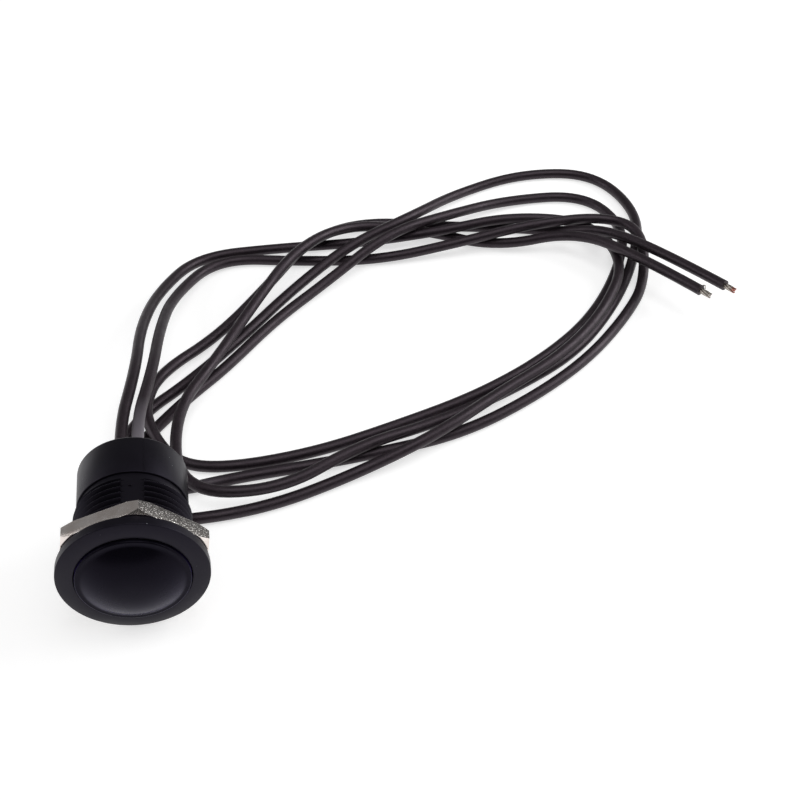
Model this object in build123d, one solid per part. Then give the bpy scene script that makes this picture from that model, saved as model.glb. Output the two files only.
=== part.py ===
"""Sealed panel pushbutton switch with two flying leads, in mm.

The switch lies on its nut and leads: the axis runs along Y at AXIS_H above the surface, the button
faces -Y, the leads leave towards +Y, and the origin is on the surface under the middle of the switch.
Places along the axis are counted from the flange's back face, positive towards the rear.
"""
from build123d import *
import math
import os

# Frame
SEAT_Y = -6.75
NUT_TURN = 10.5
PARTING_TURN = 12.0

# Housing outside
FLANGE_R = 10.0
FLANGE_T = 1.4
FLANGE_EDGE = 0.5
FLANGE_BACK_EASE = 0.15
THREAD_R = 8.0
THREAD_END = 9.8
THREAD_LEAD_IN = 0.4
BARREL_STEP = 0.4
BARREL_R = THREAD_R - BARREL_STEP
RELIEF_DEPTH = 0.3
RELIEF_R = BARREL_R - RELIEF_DEPTH
RELIEF_W = 0.9
BARREL_START = THREAD_END + RELIEF_W
BARREL_EDGE = 0.25
HOUSING_END = 17.5
FLAT_DEPTH = 0.5
FLAT_UP = THREAD_R - FLAT_DEPTH
FLAT_W = 3.6

# Hex nut
NUT_WALL = 1.5
NUT_AF = 2 * (THREAD_R + NUT_WALL)
NUT_T = 2.25
NUT_START = 0.35
NUT_BORE_AIR = 0.06
NUT_BORE_R = THREAD_R + NUT_BORE_AIR
NUT_BORE_EASE = 0.3
NUT_CORNER_R = NUT_AF / math.sqrt(3)
NUT_CHAMFER_W = 0.72
NUT_CHAMFER_DEG = 30.0
NUT_FACE_R = NUT_CORNER_R - NUT_CHAMFER_W
AXIS_H = NUT_CORNER_R * math.cos(math.radians(NUT_TURN))

# Button travel and head
TRAVEL = 0.8
STOP_AIR = 0.05
FLANGE_RING_W = 2.15
RECESS_R = FLANGE_R - FLANGE_RING_W
RECESS_EASE = 0.35
HEAD_AIR = 0.25
HEAD_R = RECESS_R - HEAD_AIR
HEAD_UNDER = -1.0
HEAD_EDGE = -1.95
HEAD_EASE = 0.3
RECESS_FLOOR = HEAD_UNDER + TRAVEL + STOP_AIR
DOME_BAND_W = 0.7
DOME_FOOT_R = HEAD_R - DOME_BAND_W
DOME_FOOT = -2.0
DOME_COVE = 0.6
DOME_TOP = -4.0

# Housing inside
BARREL_WALL = 1.2
CAVITY_R = BARREL_R - BARREL_WALL
CLIP_ROOM_LEDGE = 0.2
CLIP_ROOM_R = CAVITY_R - CLIP_ROOM_LEDGE
GUIDE_LEDGE = 0.7
GUIDE_R = CLIP_ROOM_R - GUIDE_LEDGE
GUIDE_END = 4.6
PLATE_SEAT = 6.8

# Button stem, seal and clip
STEM_AIR = 0.05
STEM_R = GUIDE_R - STEM_AIR
STEM_FREE = 0.3
STEM_END = PLATE_SEAT - TRAVEL - STEM_FREE
SEAL_AT = 2.3
SEAL_GROOVE_W = 1.4
SEAL_GROOVE_DEPTH = 0.97
SEAL_GROOVE_R = STEM_R - SEAL_GROOVE_DEPTH
SEAL_R = (SEAL_GROOVE_R + GUIDE_R) / 2
SEAL_AIR = 0.04
SEAL_WIRE_R = (GUIDE_R - SEAL_GROOVE_R) / 2 - SEAL_AIR
CLIP_AT = GUIDE_END + 0.06
CLIP_T = 0.45
CLIP_SLIP = 0.02
CLIP_GROOVE_W = 0.5
CLIP_GROOVE_DEPTH = 0.6
CLIP_GROOVE_R = STEM_R - CLIP_GROOVE_DEPTH
CLIP_IN_R = CLIP_GROOVE_R + STEM_AIR
CLIP_ROOM_AIR = 0.2
CLIP_OUT_R = CLIP_ROOM_R - CLIP_ROOM_AIR
CLIP_GAP_W = 3.0
STEM_WALL = 0.58
POCKET_R = SEAL_GROOVE_R - STEM_WALL
POCKET_TOP = -1.6

# Plunger, contact bridge and springs
PLUNGER_R = 1.17
BOSS_HOLE_R = PLUNGER_R + 0.02
BOSS_WALL = 0.71
BOSS_R = BOSS_HOLE_R + BOSS_WALL
BOSS_END = 0.6
BOSS_HOLE_TOP = -1.35
PLUNGER_TOP = BOSS_HOLE_TOP + STOP_AIR
PLATE_T = 0.8
PLATE_END = PLATE_SEAT + PLATE_T
COLLAR_R = 2.4
COLLAR_START = PLATE_END + 0.2
COLLAR_T = 0.6
COLLAR_END = COLLAR_START + COLLAR_T
CONTACT_SPRING_L = 1.5
BRIDGE_START = COLLAR_END + CONTACT_SPRING_L
BRIDGE_T = 0.4
BRIDGE_END = BRIDGE_START + BRIDGE_T
BRIDGE_L = 9.2
BRIDGE_W = 2.6
TAIL_R = 0.85
TAIL_END = BRIDGE_END + 0.7
BRIDGE_HOLE_R = TAIL_R + 0.05
BRIDGE_TIP_R = 0.8
BRIDGE_TIP_T = 0.3
TIP_X = 3.4
KEEPER_IN_R = TAIL_R + 0.01
KEEPER_OUT_R = 1.7
KEEPER_T = 0.3
KEEPER_AIR = 0.02
RETURN_SPRING_R = (POCKET_R + BOSS_R) / 2
RETURN_WIRE_R = 0.25
RETURN_COILS = 5
CONTACT_SPRING_R = (COLLAR_R + TAIL_R) / 2
CONTACT_WIRE_R = 0.15
CONTACT_COILS = 3
SPRING_AIR = 0.02

# Guide plate, contact base, terminals and rear seal
CAVITY_AIR = 0.05
PLATE_R = CAVITY_R - CAVITY_AIR
PLATE_HOLE_R = PLUNGER_R + 0.08
FIXED_TIP_R = 0.9
FIXED_TIP_T = 0.28
TERMINAL_T = 0.4
TERMINAL_W = 2.2
TERMINAL_REACH = 4.6
CONTACT_GAP = TRAVEL + 0.02
FIXED_TIP_START = BRIDGE_END + BRIDGE_TIP_T + CONTACT_GAP
TERMINAL_START = FIXED_TIP_START + FIXED_TIP_T
BASE_R = CAVITY_R - CAVITY_AIR
BASE_WALL = 0.75
BASE_WALL_R = BASE_R - BASE_WALL
BASE_FLOOR = TERMINAL_START + TERMINAL_T
BASE_FLOOR_T = 1.3
BASE_END = BASE_FLOOR + BASE_FLOOR_T
TAIL_X = 1.9
TAIL_W = 1.6
TAIL_BACK = BASE_END + 1.85
SLOT_AIR = 0.02
POTTING_R = CAVITY_R - 0.01
POTTING_DIP = 0.3
POTTING_END = HOUSING_END - POTTING_DIP

# Leads
LEAD_D = 1.8
CORE_R = 0.48
CORE_START = BASE_END + 0.45
CORE_AIR = 0.03
STRANDS_R = 0.45
STRANDS_L = 2.2
ARC_SHARE = 0.45

LEFT_ROUTE = [
    (-1.4, 8.7, 10.8), (-2.0, 19.0, 11.0), (0.5, 34.0, 10.2), (1.0, 47.5, 7.2), (3.5, 61.0, 3.3),
    (10.5, 73.5, 0.9), (25.5, 74.0, 0.9), (39.5, 73.5, 0.9), (53.5, 72.0, 3.0), (67.0, 74.5, 3.3),
    (82.0, 74.0, 0.9), (84.5, 58.5, 3.2), (77.5, 46.0, 2.9), (68.0, 36.0, 2.9), (56.0, 28.5, 2.9),
    (44.5, 20.0, 3.4), (31.2, 15.8, 0.9), (18.0, 11.0, 0.9), (4.0, 10.1, 0.9), (-4.5, 12.0, 0.9),
    (-7.0, 19.5, 0.9), (-3.5, 26.0, 0.9), (0.5, 34.0, 0.9), (7.6, 40.0, 0.9), (17.2, 50.5, 0.9),
    (26.6, 61.4, 1.4), (37.5, 70.0, 3.4), (49.4, 75.7, 4.3), (58.9, 86.0, 0.9), (72.5, 91.1, 0.9),
    (86.6, 89.2, 0.9), (91.7, 75.2, 0.9), (87.1, 61.5, 0.9), (80.2, 49.4, 0.9), (71.0, 38.5, 0.9),
    (58.5, 31.0, 0.9), (45.5, 25.0, 1.2), (33.0, 19.8, 3.2), (20.0, 11.9, 3.2), (5.6, 14.0, 3.2),
    (5.5, 31.0, 3.2), (12.5, 43.0, 2.9), (19.5, 55.5, 3.5), (27.5, 66.3, 6.1), (37.5, 75.8, 3.6),
    (51.0, 76.0, 0.9), (63.5, 68.7, 0.9), (77.5, 67.2, 4.2), (86.3, 57.1, 5.2), (93.6, 45.4, 6.0),
]
RIGHT_ROUTE = [
    (1.4, 8.7, 10.8), (0.4, 19.0, 11.0), (3.0, 33.5, 10.0), (4.0, 47.0, 6.9), (6.0, 60.0, 3.0),
    (14.0, 72.5, 0.9), (29.0, 69.5, 0.9), (42.5, 68.0, 0.9), (56.5, 69.0, 2.4), (69.5, 70.2, 4.2),
    (83.5, 72.3, 3.2), (89.9, 67.0, 3.4), (87.2, 55.0, 0.9), (82.0, 47.0, 0.9), (73.0, 37.0, 0.9),
    (61.7, 28.8, 0.9), (49.1, 22.4, 0.9), (35.5, 20.0, 0.9), (24.0, 18.7, 0.9), (13.5, 17.8, 0.9),
    (4.6, 16.2, 0.9), (-0.4, 19.4, 0.9), (-1.0, 25.8, 0.9), (3.0, 31.0, 0.9), (8.0, 37.0, 0.9),
    (14.0, 43.0, 0.9), (22.6, 53.7, 0.9), (32.6, 62.6, 1.4), (44.5, 70.4, 5.0), (55.9, 76.4, 3.3),
    (68.0, 82.8, 0.9), (83.0, 82.6, 0.9), (88.1, 71.2, 0.9), (83.0, 58.0, 0.9), (75.2, 46.2, 0.9),
    (64.8, 37.3, 0.9), (52.7, 30.4, 0.9), (39.6, 25.6, 0.9), (26.5, 21.5, 0.9), (13.0, 20.0, 0.9),
    (5.5, 22.0, 0.9), (2.0, 27.0, 2.8), (1.0, 33.0, 3.6), (3.5, 41.5, 2.4), (13.0, 51.0, 0.9),
    (22.0, 61.5, 2.2), (30.2, 71.8, 3.8), (41.0, 79.9, 0.9), (54.5, 76.5, 0.9), (68.0, 74.0, 0.9),
    (76.0, 71.0, 1.4), (82.5, 66.0, 5.0), (91.0, 57.5, 5.0), (98.0, 46.1, 6.0),
]


LEAD_X = RIGHT_ROUTE[0][0]
LEAD_START = RIGHT_ROUTE[0][1] - SEAT_Y


def profile(points):
    """Closed half-section from (radius, along) points."""
    return make_face(Polyline(*points, close=True))


def corner(face, radius, along):
    """The half-section's corner nearest a stated radius and place along the axis."""
    return min(face.vertices(), key=lambda v: math.hypot(v.X - radius, v.Y - along))


def turned(face):
    """Turns a half-section about the switch's axis."""
    return revolve(face, axis=Axis.Y)


def disc(radius, start, length, x=0.0):
    """Round bar along the axis."""
    return Pos(x, start + length / 2, 0) * (Rot(90, 0, 0) * Cylinder(radius, length))


def block(x0, x1, start, end, z0, z1):
    """Box between stated limits."""
    middle = ((x0 + x1) / 2, (start + end) / 2, (z0 + z1) / 2)
    return Pos(*middle) * Box(x1 - x0, end - start, z1 - z0)


def seated(shape):
    """Moves a piece from the axis frame to its place above the surface."""
    return Pos(0, SEAT_Y, AXIS_H) * shape


def make_housing():
    """Flange, threaded bushing and plain rear barrel in one moulding, hollow for the mechanism."""
    outside = [
        (FLANGE_R, -FLANGE_T), (FLANGE_R, 0.0), (THREAD_R, 0.0), (THREAD_R, THREAD_END),
        (RELIEF_R, THREAD_END),
        (RELIEF_R, BARREL_START), (BARREL_R, BARREL_START), (BARREL_R, HOUSING_END),
    ]
    inside = [
        (CAVITY_R, HOUSING_END), (CAVITY_R, PLATE_SEAT), (CLIP_ROOM_R, PLATE_SEAT),
        (CLIP_ROOM_R, GUIDE_END),
        (GUIDE_R, GUIDE_END), (GUIDE_R, RECESS_FLOOR), (RECESS_R, RECESS_FLOOR), (RECESS_R, -FLANGE_T),
    ]
    section = profile(outside + inside)
    section = fillet(corner(section, FLANGE_R, -FLANGE_T), FLANGE_EDGE)
    section = chamfer(corner(section, FLANGE_R, 0.0), FLANGE_BACK_EASE)
    section = chamfer(corner(section, THREAD_R, THREAD_END), THREAD_LEAD_IN)
    section = fillet(corner(section, RECESS_R, -FLANGE_T), RECESS_EASE)
    section = fillet(corner(section, BARREL_R, HOUSING_END), BARREL_EDGE)
    body = turned(section)
    for half_turn in (0, 180):
        relief = block(-FLAT_W, 0, 0.02, THREAD_END, FLAT_UP, FLAT_UP + 2)
        body -= Rot(0, PARTING_TURN + half_turn, 0) * relief
    return body


def make_button():
    """Domed cap with its guided stem, seal groove, clip groove, spring pocket and plunger boss."""
    half_w = SEAL_GROOVE_W / 2
    line = Polyline(
        (DOME_FOOT_R, DOME_FOOT), (HEAD_R, HEAD_EDGE), (HEAD_R, HEAD_UNDER), (STEM_R, HEAD_UNDER),
        (STEM_R, SEAL_AT - half_w),
        (SEAL_GROOVE_R, SEAL_AT - half_w), (SEAL_GROOVE_R, SEAL_AT + half_w), (STEM_R, SEAL_AT + half_w),
        (STEM_R, CLIP_AT), (CLIP_GROOVE_R, CLIP_AT), (CLIP_GROOVE_R, CLIP_AT + CLIP_GROOVE_W),
        (STEM_R, CLIP_AT + CLIP_GROOVE_W), (STEM_R, STEM_END), (POCKET_R, STEM_END), (POCKET_R, POCKET_TOP),
        (BOSS_R, POCKET_TOP), (BOSS_R, BOSS_END), (BOSS_HOLE_R, BOSS_END), (BOSS_HOLE_R, BOSS_HOLE_TOP),
        (0, BOSS_HOLE_TOP), (0, DOME_TOP),
    )
    rise = DOME_FOOT - DOME_TOP
    dome_r = (DOME_FOOT_R ** 2 + rise ** 2) / (2 * rise)
    half_r = DOME_FOOT_R / 2
    half_y = DOME_TOP + dome_r - math.sqrt(dome_r ** 2 - half_r ** 2)
    dome = ThreePointArc((0, DOME_TOP), (half_r, half_y), (DOME_FOOT_R, DOME_FOOT))
    section = make_face([line, dome])
    section = fillet(corner(section, DOME_FOOT_R, DOME_FOOT), DOME_COVE)
    section = fillet(corner(section, HEAD_R, HEAD_EDGE), HEAD_EASE)
    return turned(section)


def make_seal():
    """Round rubber ring in the stem's groove."""
    ring = Pos(SEAL_R, SEAL_AT) * Circle(SEAL_WIRE_R)
    return turned(ring)


def make_stem_clip():
    """Split steel ring that stops the button at the end of its guide."""
    ring = turned(profile([
        (CLIP_IN_R, CLIP_AT + CLIP_SLIP), (CLIP_OUT_R, CLIP_AT + CLIP_SLIP),
        (CLIP_OUT_R, CLIP_AT + CLIP_T), (CLIP_IN_R, CLIP_AT + CLIP_T),
    ]))
    half = CLIP_GAP_W / 2
    return ring - block(-half, half, CLIP_AT - 1, CLIP_AT + 2, 0, CLIP_OUT_R + 1)


def make_plunger():
    """Pin from the button to the contact bridge, with the contact spring's collar."""
    return turned(profile([
        (0, PLUNGER_TOP), (PLUNGER_R, PLUNGER_TOP), (PLUNGER_R, COLLAR_START), (COLLAR_R, COLLAR_START),
        (COLLAR_R, COLLAR_END), (TAIL_R, COLLAR_END), (TAIL_R, TAIL_END), (0, TAIL_END),
    ]))


def make_spring(mean_r, wire_r, start, end, coils):
    """Open coil spring along the axis between two seats."""
    low = start + SPRING_AIR + wire_r
    high = end - SPRING_AIR - wire_r
    helix = Helix(pitch=(high - low) / coils, height=high - low, radius=mean_r)
    wire = Plane(origin=helix @ 0, z_dir=helix % 0) * Circle(wire_r)
    coil = sweep(wire, path=helix, is_frenet=True)
    return Pos(0, low, 0) * (Rot(-90, 0, 0) * coil)


def make_bridge():
    """Flat bar that joins the two fixed contacts."""
    bar = block(-BRIDGE_L / 2, BRIDGE_L / 2, BRIDGE_START, BRIDGE_END, -BRIDGE_W / 2, BRIDGE_W / 2)
    bar = fillet(bar.edges().filter_by(Axis.Y), BRIDGE_W * 0.4)
    return bar - disc(BRIDGE_HOLE_R, BRIDGE_START - 1, BRIDGE_T + 2)


def make_pair(radius, start, length):
    """Two contact tips, one each side of the axis."""
    return Compound(children=[disc(radius, start, length, x) for x in (-TIP_X, TIP_X)])


def make_keeper():
    """Push-on ring that keeps the bridge on the plunger."""
    start = BRIDGE_END + KEEPER_AIR
    return turned(profile([
        (KEEPER_IN_R, start), (KEEPER_OUT_R, start), (KEEPER_OUT_R, start + KEEPER_T),
        (KEEPER_IN_R, start + KEEPER_T),
    ]))


def make_guide_plate():
    """Plate that guides the plunger and carries the return spring."""
    return disc(PLATE_R, PLATE_SEAT, PLATE_T) - disc(PLATE_HOLE_R, PLATE_SEAT - 1, PLATE_T + 2)


def make_base():
    """Cup that holds the terminals, with a slot for each one's tail."""
    cup = turned(profile([
        (0, BASE_FLOOR), (BASE_WALL_R, BASE_FLOOR), (BASE_WALL_R, PLATE_END), (BASE_R, PLATE_END),
        (BASE_R, BASE_END), (0, BASE_END),
    ]))
    half = TAIL_W / 2 + SLOT_AIR
    near = TAIL_X - SLOT_AIR
    far = TAIL_X + TERMINAL_T + SLOT_AIR
    cup -= block(near, far, BASE_FLOOR - 1, BASE_END + 1, -half, half)
    cup -= block(-far, -near, BASE_FLOOR - 1, BASE_END + 1, -half, half)
    return cup


def make_terminal(side):
    """Bent strip from the fixed contact to the lead; side is -1 or 1."""
    inner = side * TAIL_X
    outer = side * TERMINAL_REACH
    back = side * (TAIL_X + TERMINAL_T)
    half_w = TERMINAL_W / 2
    strip = block(min(inner, outer), max(inner, outer), TERMINAL_START, BASE_FLOOR, -half_w, half_w)
    tail = block(min(inner, back), max(inner, back), TERMINAL_START, TAIL_BACK, -TAIL_W / 2, TAIL_W / 2)
    return strip + tail


def make_core(side):
    """Bare end of a lead's conductor, beside its terminal's tail."""
    return disc(CORE_R, CORE_START, LEAD_START - CORE_START - CORE_AIR, side * LEAD_X)


def make_potting():
    """Resin that fills the rear of the housing round the terminals and leads."""
    fill = disc(POTTING_R, BASE_END, POTTING_END - BASE_END)
    for side in (-1, 1):
        fill -= make_terminal(side)
        fill -= make_core(side)
    fill = seated(fill)
    for route in (LEFT_ROUTE, RIGHT_ROUTE):
        start = Vector(*route[0])
        way = (Vector(*route[1]) - start).normalized()
        hole = Plane(origin=start + way, z_dir=way) * Cylinder(LEAD_D / 2, 2.0)
        fill -= hole
    return fill


def make_nut():
    """Hexagon nut, chamfered on both faces, with an eased bore."""
    hexagon = Plane.XZ * RegularPolygon(NUT_CORNER_R, 6, rotation=90)
    prism = Pos(0, NUT_START, 0) * extrude(hexagon, amount=NUT_T, dir=(0, 1, 0))
    end = NUT_START + NUT_T
    over = NUT_CHAMFER_W * 1.2
    drop = over * math.tan(math.radians(NUT_CHAMFER_DEG))
    far = NUT_FACE_R + over
    cone = turned(profile([
        (NUT_BORE_R + NUT_BORE_EASE, NUT_START), (NUT_FACE_R, NUT_START), (far, NUT_START + drop),
        (far, end - drop),
        (NUT_FACE_R, end), (NUT_BORE_R + NUT_BORE_EASE, end), (NUT_BORE_R, end - NUT_BORE_EASE),
        (NUT_BORE_R, NUT_START + NUT_BORE_EASE),
    ]))
    return Rot(0, NUT_TURN, 0) * (prism & cone)


def make_lead(name, route):
    """Insulated lead along its route: straight runs joined by tangent arcs."""
    points = [Vector(*p) for p in route]
    radii = []
    for before, at, after in zip(points, points[1:], points[2:]):
        first = at - before
        second = after - at
        turn = math.radians(first.get_angle(second))
        radii.append(ARC_SHARE * min(first.length, second.length) / math.tan(turn / 2))
    path = FilletPolyline(*points, radius=radii)
    tube = sweep(Plane(origin=path @ 0, z_dir=path % 0) * Circle(LEAD_D / 2), path=path)
    share = tube.volume / (math.pi * LEAD_D ** 2 / 4 * path.length)
    print(name, "length", round(path.length, 1), "smallest radius", round(min(radii), 2))
    print(name, "volume share", round(share, 4))
    return tube


def make_strands(route):
    """Stripped end of a lead's conductor."""
    end = Vector(*route[-1])
    way = (end - Vector(*route[-2])).normalized()
    return Plane(origin=end + way * (STRANDS_L / 2), z_dir=way) * Cylinder(STRANDS_R, STRANDS_L)


return_spring = make_spring(RETURN_SPRING_R, RETURN_WIRE_R, POCKET_TOP, PLATE_SEAT, RETURN_COILS)
contact_spring = make_spring(CONTACT_SPRING_R, CONTACT_WIRE_R, COLLAR_END, BRIDGE_START, CONTACT_COILS)
parts = {
    "housing": seated(make_housing()),
    "button": seated(make_button()),
    "button_seal": seated(make_seal()),
    "stem_clip": seated(make_stem_clip()),
    "plunger": seated(make_plunger()),
    "return_spring": seated(return_spring),
    "contact_spring": seated(contact_spring),
    "contact_bridge": seated(make_bridge()),
    "bridge_contacts": seated(make_pair(BRIDGE_TIP_R, BRIDGE_END, BRIDGE_TIP_T)),
    "bridge_keeper": seated(make_keeper()),
    "guide_plate": seated(make_guide_plate()),
    "contact_base": seated(make_base()),
    "terminal_left": seated(make_terminal(-1)),
    "terminal_right": seated(make_terminal(1)),
    "fixed_contacts": seated(make_pair(FIXED_TIP_R, FIXED_TIP_START, FIXED_TIP_T)),
    "rear_potting": make_potting(),
    "left_core": seated(make_core(-1)),
    "right_core": seated(make_core(1)),
    "left_lead": make_lead("left_lead", LEFT_ROUTE),
    "right_lead": make_lead("right_lead", RIGHT_ROUTE),
    "left_strands": make_strands(LEFT_ROUTE),
    "right_strands": make_strands(RIGHT_ROUTE),
    "hex_nut": seated(make_nut()),
}

os.makedirs("parts", exist_ok=True)
for node, shape in parts.items():
    export_step(shape, f"parts/{node}.step")
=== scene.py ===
"""Sealed panel pushbutton switch with two flying leads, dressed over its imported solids.

The switch lies on its nut and leads on a pale surface: its axis runs along Y, the button faces -Y, and
the leads leave towards +Y and lie in loose turns. A place along the axis is counted from the flange's back
face, positive towards the rear. The modelled pieces have their sizes in millimetres. The lead curves, the
camera, the lamps and the surface have theirs in metres, and so do all meshes.
"""
import logging
import math
from collections.abc import Callable, Sequence
from dataclasses import dataclass
from enum import Enum
from typing import Any

import bpy
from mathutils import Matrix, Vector


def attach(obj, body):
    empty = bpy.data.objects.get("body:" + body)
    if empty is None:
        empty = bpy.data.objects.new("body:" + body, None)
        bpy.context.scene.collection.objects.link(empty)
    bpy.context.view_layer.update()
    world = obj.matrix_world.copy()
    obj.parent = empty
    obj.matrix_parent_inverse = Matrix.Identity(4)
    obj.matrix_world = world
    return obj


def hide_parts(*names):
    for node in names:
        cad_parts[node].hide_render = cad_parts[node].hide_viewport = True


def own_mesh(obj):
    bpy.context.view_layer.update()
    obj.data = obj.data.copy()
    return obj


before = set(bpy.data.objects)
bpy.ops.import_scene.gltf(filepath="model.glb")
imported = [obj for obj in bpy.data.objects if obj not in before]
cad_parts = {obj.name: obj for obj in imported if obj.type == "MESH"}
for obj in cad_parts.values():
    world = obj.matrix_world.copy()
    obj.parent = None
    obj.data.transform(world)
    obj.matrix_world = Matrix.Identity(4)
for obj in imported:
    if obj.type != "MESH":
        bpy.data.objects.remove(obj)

LOG = logging.getLogger("switch")
MM = 0.001
WELD = 0.001 * MM
AXIS_HEIGHT = 10.7867 * MM
SEAT_Y = -6.75 * MM
SEAT = (0.0, SEAT_Y, AXIS_HEIGHT)
PARTING_TURN = math.radians(18.5)

Point = tuple[float, float, float]
Flat = tuple[float, float]
Colour = tuple[float, float, float, float]
Tree = bpy.types.NodeTree
Socket = bpy.types.NodeSocket
Material = bpy.types.Material
Piece = bpy.types.Object

# Inputs and settings of a Mix node that lays one colour over another.
SHARE, UNDER, OVER = 0, 6, 7
COLOURS = {"out": 2, "data_type": "RGBA"}
# Limits of a Map Range node whose value falls from one to zero.
FALLING = {"To Min": 1.0, "To Max": 0.0}


class Body(str, Enum):
    """Rigid bodies of the switch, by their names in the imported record."""

    SWITCH = "switch"
    BUTTON = "button"
    NUT = "nut"


class Slot(str, Enum):
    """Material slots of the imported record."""

    HOUSING = "black_plastic"
    BUTTON = "button_plastic"
    STEEL = "spring_steel"
    COPPER = "tinned_copper"
    LEAD = "lead_insulation"
    NICKEL = "nickel_plate"


class Cut(str, Enum):
    """Ways of joining one solid with another."""

    ADD = "UNION"
    TAKE = "DIFFERENCE"
    KEEP = "INTERSECT"


def linear(code: str) -> Colour:
    """Turns an sRGB hex colour into linear light.

    Args:
        code: Colour written as #rrggbb.

    Returns:
        Linear red, green, blue and an alpha of one.
    """
    channels = [int(code[i:i + 2], 16) / 255 for i in (1, 3, 5)]
    light = [c / 12.92 if c <= 0.04045 else ((c + 0.055) / 1.055) ** 2.4 for c in channels]
    return (light[0], light[1], light[2], 1.0)


def per_mm(size_mm: float) -> float:
    """Gives a texture's scale for a feature of a size in millimetres."""
    return 1.0 / (size_mm * MM)


def add_node(tree: Tree, kind: str, inputs: dict[Any, Any] | None = None, out: int | str = 0,
             **settings: Any) -> Socket | None:
    """Adds a node with its settings, values and links.

    Args:
        tree: Node tree that takes the node.
        kind: Blender's name for the node type, without its first part.
        inputs: Number, hex colour or output socket for each input, by name or number.
        out: The output that is wanted, by name or number.
        **settings: Properties of the node itself.

    Returns:
        The wanted output, or None from a node that has no outputs.
    """
    made = tree.nodes.new(f"ShaderNode{kind}")
    for name, value in settings.items():
        setattr(made, name, value)
    for key, value in (inputs or {}).items():
        if isinstance(value, Socket):
            tree.links.new(value, made.inputs[key])
        else:
            made.inputs[key].default_value = linear(value) if isinstance(value, str) else value
    return made.outputs[out] if len(made.outputs) else None


def new_material(name: str) -> tuple[Material, Tree]:
    """Makes an empty node material.

    Args:
        name: Name of the finish.

    Returns:
        The material and its node tree, with no nodes in it.
    """
    made = bpy.data.materials.new(name)
    made.use_nodes = True
    made.node_tree.nodes.clear()
    return made, made.node_tree


@dataclass(frozen=True)
class Finish:
    """A finish with one shader, whose patterns lie on the piece's own coordinates."""

    name: str

    def build(self) -> Material:
        """Makes the material.

        Returns:
            The finished node material.
        """
        made, tree = new_material(self.name)
        where = add_node(tree, "TexCoord", out="Object")
        shader = add_node(tree, "BsdfPrincipled", self.surface(tree, where))
        add_node(tree, "OutputMaterial", {"Surface": shader})
        return made

    def surface(self, tree: Tree, where: Socket) -> dict[str, Any]:
        """Works out the shader's inputs, each finish in its own way."""
        raise NotImplementedError

    def patch(self, tree: Tree, where: Socket, at_mm: Point, reach_mm: float, full: float) -> Socket:
        """Gives a soft round patch about one place.

        Args:
            tree: Node tree of the material.
            where: Object coordinates.
            at_mm: The place.
            reach_mm: Distance at which the patch ends.
            full: Share of that distance over which the patch is full.

        Returns:
            One at the place, zero from the reach on.
        """
        place = tuple(c * MM for c in at_mm)
        end = reach_mm * MM
        away = add_node(tree, "VectorMath", {0: where, 1: place}, "Value", operation="DISTANCE")
        return add_node(tree, "MapRange", {"Value": away, "From Min": full * end, "From Max": end, **FALLING})


@dataclass(frozen=True, kw_only=True)
class CloudedFinish(Finish):
    """A finish whose tone and gloss drift in soft clouds."""

    cloud_mm: float
    cloud_limits: Flat = (0.3, 0.7)
    roughness: float
    smoother: float = 0.06
    rougher: float = 0.06

    def clouds(self, tree: Tree, where: Socket) -> tuple[Socket, Socket]:
        """Gives the clouds and the roughness that follows them.

        Args:
            tree: Node tree of the material.
            where: Object coordinates.

        Returns:
            The clouds, 0 to 1, and the roughness.
        """
        low, high = self.cloud_limits
        smooth = self.roughness - self.smoother
        rough = self.roughness + self.rougher
        cloud = add_node(tree, "TexNoise", {"Vector": where, "Scale": per_mm(self.cloud_mm), "Detail": 3.0})
        gloss = add_node(tree, "MapRange", {"Value": cloud, "From Min": low, "From Max": high,
                                            "To Min": smooth, "To Max": rough})
        return cloud, gloss


@dataclass(frozen=True, kw_only=True)
class DustyFinish(CloudedFinish):
    """A clouded finish on which small pale specks of dust have settled."""

    speck: str = "#8b8e94"
    speck_every_mm: float = 1.3
    speck_edge: Flat = (0.025, 0.055)
    dust_patch_mm: float = 2.4
    dust_level: float = 0.53
    dust_fade: float = 0.06

    def dust(self, tree: Tree, where: Socket) -> Socket:
        """Gives small dust specks, thick in some places and none in others.

        Args:
            tree: Node tree of the material.
            where: Object coordinates.

        Returns:
            Share of dust, 0 to 1.
        """
        inner, outer = self.speck_edge
        none = self.dust_level
        full = none + self.dust_fade
        fine = per_mm(self.speck_every_mm)
        wide = per_mm(self.dust_patch_mm)
        cells = add_node(tree, "TexVoronoi", {"Vector": where, "Scale": fine}, "Distance")
        dots = add_node(tree, "MapRange", {"Value": cells, "From Min": inner, "From Max": outer, **FALLING})
        drift = add_node(tree, "TexNoise", {"Vector": where, "Scale": wide, "Detail": 1.0})
        settled = add_node(tree, "MapRange", {"Value": drift, "From Min": none, "From Max": full})
        return add_node(tree, "Math", {0: dots, 1: settled}, operation="MULTIPLY")


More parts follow.
